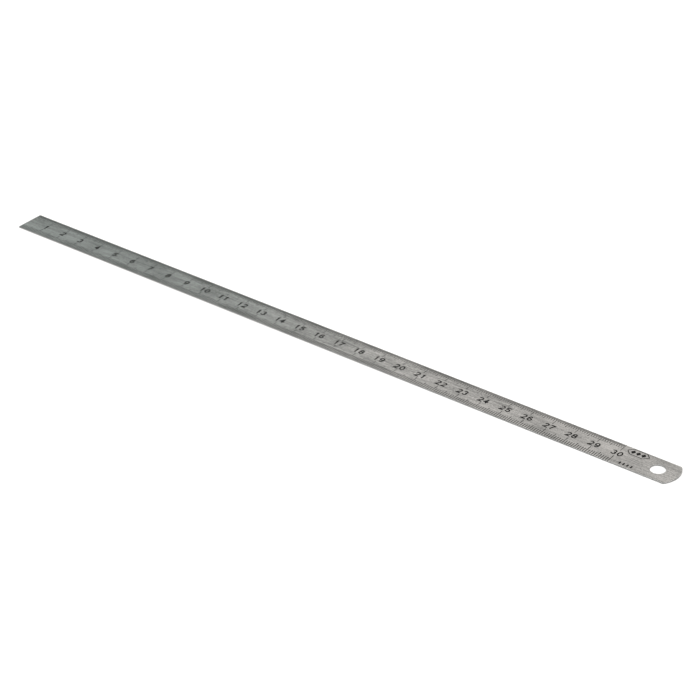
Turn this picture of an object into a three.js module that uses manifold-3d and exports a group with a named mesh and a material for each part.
// Flexible stainless steel rule, 300 mm, read from its square zero end.
//
// The rule is one strip of spring steel. Its face carries two etched scales, a row of numerals,
// a small framed mark and a row of batch bars, all filled with black enamel, and its rounded
// tail has a hole to hang it by.
//
// Units are millimetres. X runs along the rule from the zero end, Y runs across it from its
// centreline, and Z rises from the underside.

import * as THREE from "three";
import { mergeGeometries, mergeVertices } from "three/addons/utils/BufferGeometryUtils.js";
import Module from "manifold-3d";

// Blade: the strip that every other size is placed on.
const SCALE_LENGTH = 300;
const TAIL_LENGTH = 26.2;
const WIDTH = 13;
const THICKNESS = 0.5;
const TAIL_RADIUS = 10;
const TAIL_CORNER_RADIUS = 0.3;
const HANG_HOLE_DIAMETER = 6;
const HANG_HOLE_TO_TIP = 8.6;

// Graduations: one near edge scale in millimetres, one far edge scale in half millimetres.
const MILLIMETRE_LINE_WIDTH = 0.3;
const HALF_MILLIMETRE_LINE_WIDTH = 0.25;
const LINE_DEPTH = 0.04;
const FIVE_SHORTER_THAN_TEN = 0.95;
const ONE_SHORTER_THAN_TEN = 1.85;
const HALF_SHORTER_THAN_TEN = 2.95;

// Numerals: one number for each centimetre, centred on its line.
const DIGIT_WIDTH = 2.15;
const DIGIT_HEIGHT = 3;
const DIGIT_STROKE = 0.5;
const DIGIT_GAP = 0.5;
const DIGIT_TO_LINE = 0.6;
const ENAMEL_THICKNESS = 0.02;

// Tail marks: a plain six-sided frame round three lozenges, and a row of four bars.
const FRAME_LENGTH = 9.8;
const FRAME_HEIGHT = 4.1;
const FRAME_POINT = 2;
const FRAME_STROKE = 0.35;
const FRAME_FROM_SCALE = 1.8;
const FRAME_FROM_EDGE = 0.3;
const LOZENGE_COUNT = 3;
const LOZENGE_WIDTH = 2;
const LOZENGE_HEIGHT = 2.5;
const LOZENGE_GAP = 0.2;
const BAR_COUNT = 4;
const BAR_WIDTH = 0.7;
const BAR_HEIGHT = 1.5;
const BAR_GAP = 0.95;
const BARS_FROM_SCALE = 3.9;
const BARS_FROM_EDGE = 1;

// Fineness of the round shapes, and how far a cutter reaches past what it cuts.
const TAIL_STEPS = 24;
const CORNER_STEPS = 4;
const HOLE_STEPS = 48;
const DIGIT_DEGREES_PER_STEP = 30;
const CUTTER_OVERRUN = 0.2;

const LENGTH = SCALE_LENGTH + TAIL_LENGTH;
const TEN_LINE = (WIDTH - DIGIT_HEIGHT) / 2 - DIGIT_TO_LINE;

const wasm = await Module();
wasm.setup();

// A closed geometry as a solid that can be joined and cut.
function solidFrom(geometry) {
  const bare = geometry.index ? geometry.toNonIndexed() : geometry.clone();
  bare.deleteAttribute("normal");
  bare.deleteAttribute("uv");
  const merged = mergeVertices(bare);
  const mesh = new wasm.Mesh({
    numProp: 3,
    vertProperties: merged.getAttribute("position").array,
    triVerts: new Uint32Array(merged.index.array),
  });
  return new wasm.Manifold(mesh);
}

// The geometry of a solid, with flat faces.
function geometryFrom(solid) {
  const mesh = solid.getMesh();
  const geometry = new THREE.BufferGeometry();
  geometry.setAttribute("position", new THREE.BufferAttribute(mesh.vertProperties, 3));
  geometry.setIndex(new THREE.BufferAttribute(mesh.triVerts, 1));
  const flat = geometry.toNonIndexed();
  flat.computeVertexNormals();
  return flat;
}

// Points on an arc of an ellipse, from one angle to another in degrees.
function arc(x, y, radiusX, radiusY, from, to, steps) {
  return Array.from({ length: steps + 1 }, (_, i) => {
    const angle = THREE.MathUtils.degToRad(from + ((to - from) * i) / steps);
    return new THREE.Vector2(x + radiusX * Math.cos(angle), y + radiusY * Math.sin(angle));
  });
}

// ---------------------------------------------------------------------------------------------
// Blade
// ---------------------------------------------------------------------------------------------

// The outline seen from above: square at the zero end, a round tail with softened corners.
function bladeOutline() {
  const half = WIDTH / 2;
  const tailCentre = LENGTH - TAIL_RADIUS;
  const cornerY = half - TAIL_CORNER_RADIUS;
  const cornerReach = Math.sqrt((TAIL_RADIUS - TAIL_CORNER_RADIUS) ** 2 - cornerY ** 2);
  const cornerX = tailCentre + cornerReach;
  const meets = THREE.MathUtils.radToDeg(Math.atan2(cornerY, cornerReach));
  const round = TAIL_CORNER_RADIUS;
  const outline = [
    new THREE.Vector2(0, -half),
    ...arc(cornerX, -cornerY, round, round, -90, -meets, CORNER_STEPS),
    ...arc(tailCentre, 0, TAIL_RADIUS, TAIL_RADIUS, -meets, meets, TAIL_STEPS).slice(1, -1),
    ...arc(cornerX, cornerY, round, round, meets, 90, CORNER_STEPS),
    new THREE.Vector2(0, half),
  ];
  const shape = new THREE.Shape(outline);
  const hole = new THREE.Path();
  hole.absarc(LENGTH - HANG_HOLE_TO_TIP, 0, HANG_HOLE_DIAMETER / 2, 0, 2 * Math.PI, true);
  shape.holes.push(hole);
  return shape;
}

// A graduation line is a V-shaped groove that runs in square from one long edge of the face.
// The cutter's walls carry on a little above the face, so the V is clean where it opens.
function lineCutter(x, length, width, edge) {
  const rise = LINE_DEPTH / 4;
  const reach = (width / 2) * (1 + rise / LINE_DEPTH);
  const section = new THREE.Shape([
    new THREE.Vector2(0, -LINE_DEPTH),
    new THREE.Vector2(reach, rise),
    new THREE.Vector2(-reach, rise),
  ]);
  const depth = length + CUTTER_OVERRUN;
  const cutter = new THREE.ExtrudeGeometry(section, { depth, bevelEnabled: false });
  cutter.rotateX(Math.PI / 2);
  const farEnd = edge > 0 ? WIDTH / 2 + CUTTER_OVERRUN : length - WIDTH / 2;
  cutter.translate(x, farEnd, THICKNESS);
  return cutter;
}

// How long the line at a reading is: tens stand out most, then fives, ones and halves.
function lineLength(reading) {
  if (reading % 10 === 0) return TEN_LINE;
  if (reading % 5 === 0) return TEN_LINE - FIVE_SHORTER_THAN_TEN;
  if (reading % 1 === 0) return TEN_LINE - ONE_SHORTER_THAN_TEN;
  return TEN_LINE - HALF_SHORTER_THAN_TEN;
}

// Every line of a scale, counted from the zero end, which is itself the zero of both scales.
function scaleCutters(division, width, edge) {
  const count = Math.floor(SCALE_LENGTH / division);
  return Array.from({ length: count }, (_, i) => {
    const reading = (i + 1) * division;
    return lineCutter(reading, lineLength(reading), width, edge);
  });
}

function bladeGeometry() {
  const strip = new THREE.ExtrudeGeometry(bladeOutline(), {
    depth: THICKNESS,
    bevelEnabled: false,
    curveSegments: HOLE_STEPS,
  });
  const lines = mergeGeometries([
    ...scaleCutters(1, MILLIMETRE_LINE_WIDTH, -1),
    ...scaleCutters(0.5, HALF_MILLIMETRE_LINE_WIDTH, 1),
  ]);
  return geometryFrom(solidFrom(strip).subtract(solidFrom(lines)));
}

// ---------------------------------------------------------------------------------------------
// Enamel: everything black on the face is a thin film with straight walls
// ---------------------------------------------------------------------------------------------

// The points of a line moved sideways, with mitred corners.
function movedAside(points, shift, closed) {
  const count = points.length;
  return points.map((point, i) => {
    const before = closed ? points[(i + count - 1) % count] : points[Math.max(i - 1, 0)];
    const after = closed ? points[(i + 1) % count] : points[Math.min(i + 1, count - 1)];
    const coming = point.clone().sub(before).normalize();
    const going = after.clone().sub(point).normalize();
    const along = coming.clone().add(going).normalize();
    const aside = new THREE.Vector2(-along.y, along.x);
    const lean = aside.x * -going.y + aside.y * going.x;
    const leanAtEnd = aside.x * -coming.y + aside.y * coming.x;
    return point.clone().addScaledVector(aside, shift / (lean || leanAtEnd));
  });
}

// A flat film with a given outline.
function film(shape) {
  return new THREE.ExtrudeGeometry(shape, { depth: ENAMEL_THICKNESS, bevelEnabled: false });
}

// An open line of even width along the middle of a stroke.
function openLine(points, width) {
  const left = movedAside(points, width / 2, false);
  const right = movedAside(points, -width / 2, false);
  return film(new THREE.Shape([...right, ...left.reverse()]));
}

// A closed band of even width inside an outline that runs anticlockwise.
function band(outline, width) {
  const shape = new THREE.Shape(outline);
  shape.holes.push(new THREE.Path(movedAside(outline, width, true)));
  return film(shape);
}

// The strokes of the digits, on the middle of each stroke. A and B are half of the width and
// half of the height that the middles span.
const A = (DIGIT_WIDTH - DIGIT_STROKE) / 2;
const B = (DIGIT_HEIGHT - DIGIT_STROKE) / 2;
const END = DIGIT_STROKE / 2;

function straight(...places) {
  return openLine(places.map(([x, y]) => new THREE.Vector2(x, y)), DIGIT_STROKE);
}

function curve(x, y, radiusX, radiusY, from, to, ...tail) {
  const steps = Math.ceil(Math.abs(to - from) / DIGIT_DEGREES_PER_STEP);
  const round = arc(x, y, radiusX, radiusY, from, to, steps);
  return openLine([...round, ...tail.map(([tx, ty]) => new THREE.Vector2(tx, ty))], DIGIT_STROKE);
}

function ring(x, y, radiusX, radiusY) {
  const steps = 360 / DIGIT_DEGREES_PER_STEP;
  const outline = arc(x, y, radiusX + END, radiusY + END, 0, 360, steps).slice(0, -1);
  return band(outline, DIGIT_STROKE);
}

function sixStrokes() {
  const bowl = 0.6 * B;
  return [
    ring(0, bowl - B, A, bowl),
    curve(0, 0, A, B, 180, 40),
    straight([-A, 0.05 * B], [-A, bowl - B]),
  ];
}

const DIGITS = [
  () => [ring(0, 0, A, B)],
  () => [
    straight([0.25 * A, B + END], [0.25 * A, -B - END]),
    straight([-0.55 * A, 0.45 * B], [0.25 * A, 0.85 * B]),
  ],
  () => [
    curve(0, 0.45 * B, A, 0.55 * B, 165, -30, [-0.85 * A, -B]),
    straight([-A - END, -B], [A + END, -B]),
  ],
  () => [curve(0, 0.5 * B, 0.9 * A, 0.5 * B, 165, -90), curve(0, -0.5 * B, A, 0.5 * B, 90, -165)],
  () => [
    straight([0.35 * A, B + END], [0.35 * A, -B - END]),
    straight([0.35 * A, 0.95 * B], [-0.95 * A, -0.4 * B]),
    straight([-A - END, -0.45 * B], [A + END, -0.45 * B]),
  ],
  () => [
    straight([-0.75 * A, B], [A, B]),
    straight([-0.75 * A, B + END], [-0.85 * A, -0.05 * B]),
    curve(0, -0.38 * B, A, 0.62 * B, 150, -160),
  ],
  sixStrokes,
  () => [
    straight([-A - END, B], [A + END, B]),
    straight([A, B], [0.1 * A, 0], [-0.3 * A, -B - 0.8 * END]),
  ],
  () => [ring(0, 0.5 * B, 0.85 * A, 0.5 * B), ring(0, -0.45 * B, A, 0.55 * B)],
  () => sixStrokes().map((stroke) => stroke.rotateZ(Math.PI)),
];

// One digit, its strokes joined into one piece of enamel.
function digitGeometry(digit) {
  const strokes = DIGITS[digit]().map(solidFrom);
  return geometryFrom(strokes.reduce((whole, stroke) => whole.add(stroke)));
}

// A six-sided frame, longer than it is high, with a point at each end.
function frameGeometry() {
  const x = FRAME_LENGTH / 2;
  const y = FRAME_HEIGHT / 2;
  const shoulder = x - FRAME_POINT;
  const corners = [[x, 0], [shoulder, y], [-shoulder, y], [-x, 0], [-shoulder, -y], [shoulder, -y]];
  return band(corners.map(([cx, cy]) => new THREE.Vector2(cx, cy)), FRAME_STROKE);
}

function lozengeGeometry() {
  const x = LOZENGE_WIDTH / 2;
  const y = LOZENGE_HEIGHT / 2;
  const corners = [[x, 0], [0, y], [-x, 0], [0, -y]];
  return film(new THREE.Shape(corners.map(([cx, cy]) => new THREE.Vector2(cx, cy))));
}

function barGeometry() {
  const bar = new THREE.BoxGeometry(BAR_WIDTH, BAR_HEIGHT, ENAMEL_THICKNESS);
  return bar.translate(0, 0, ENAMEL_THICKNESS / 2);
}

// ---------------------------------------------------------------------------------------------
// Assembly
// ---------------------------------------------------------------------------------------------

function steel() {
  return new THREE.MeshStandardMaterial({ color: 0x9d9e9a, roughness: 0.4, metalness: 1 });
}

function enamel() {
  return new THREE.MeshStandardMaterial({ color: 0x161616, roughness: 0.55, metalness: 0 });
}

function piece(name, geometry, material, x = 0, y = 0) {
  const mesh = new THREE.Mesh(geometry, material);
  mesh.name = name;
  mesh.position.set(x, y, 0);
  return mesh;
}

// The number at one centimetre: its digits side by side, centred on the line.
function numeral(centimetre) {
  const group = new THREE.Group();
  const digits = String(centimetre).split("");
  const names = digits.length > 1 ? ["tens", "units"] : ["units"];
  const pitch = DIGIT_WIDTH + DIGIT_GAP;
  digits.forEach((digit, i) => {
    const x = (i - (digits.length - 1) / 2) * pitch;
    const name = "numeral_" + centimetre + "_" + names[i];
    group.add(piece(name, digitGeometry(digit), enamel(), x));
  });
  group.position.x = centimetre * 10;
  return group;
}

// The framed mark by the far edge of the tail.
function mark() {
  const group = new THREE.Group();
  group.add(piece("mark_frame", frameGeometry(), enamel()));
  for (let i = 0; i < LOZENGE_COUNT; i++) {
    const x = (i - (LOZENGE_COUNT - 1) / 2) * (LOZENGE_WIDTH + LOZENGE_GAP);
    group.add(piece("mark_lozenge_" + (i + 1), lozengeGeometry(), enamel(), x));
  }
  group.position.x = SCALE_LENGTH + FRAME_FROM_SCALE + FRAME_LENGTH / 2;
  group.position.y = WIDTH / 2 - FRAME_FROM_EDGE - FRAME_HEIGHT / 2;
  return group;
}

// The row of bars by the near edge of the tail.
function batchBars() {
  const group = new THREE.Group();
  for (let i = 0; i < BAR_COUNT; i++) {
    const x = BAR_WIDTH / 2 + i * (BAR_WIDTH + BAR_GAP);
    group.add(piece("batch_bar_" + (i + 1), barGeometry(), enamel(), x));
  }
  group.position.x = SCALE_LENGTH + BARS_FROM_SCALE;
  group.position.y = -WIDTH / 2 + BARS_FROM_EDGE + BAR_HEIGHT / 2;
  return group;
}

// All the enamel lies on the face of the blade.
function faceMarks() {
  const group = new THREE.Group();
  for (let centimetre = 1; centimetre * 10 <= SCALE_LENGTH; centimetre++) {
    group.add(numeral(centimetre));
  }
  group.add(mark(), batchBars());
  group.position.z = THICKNESS;
  return group;
}

const rule = new THREE.Group();
rule.add(piece("blade", bladeGeometry(), steel()), faceMarks());

export default rule;
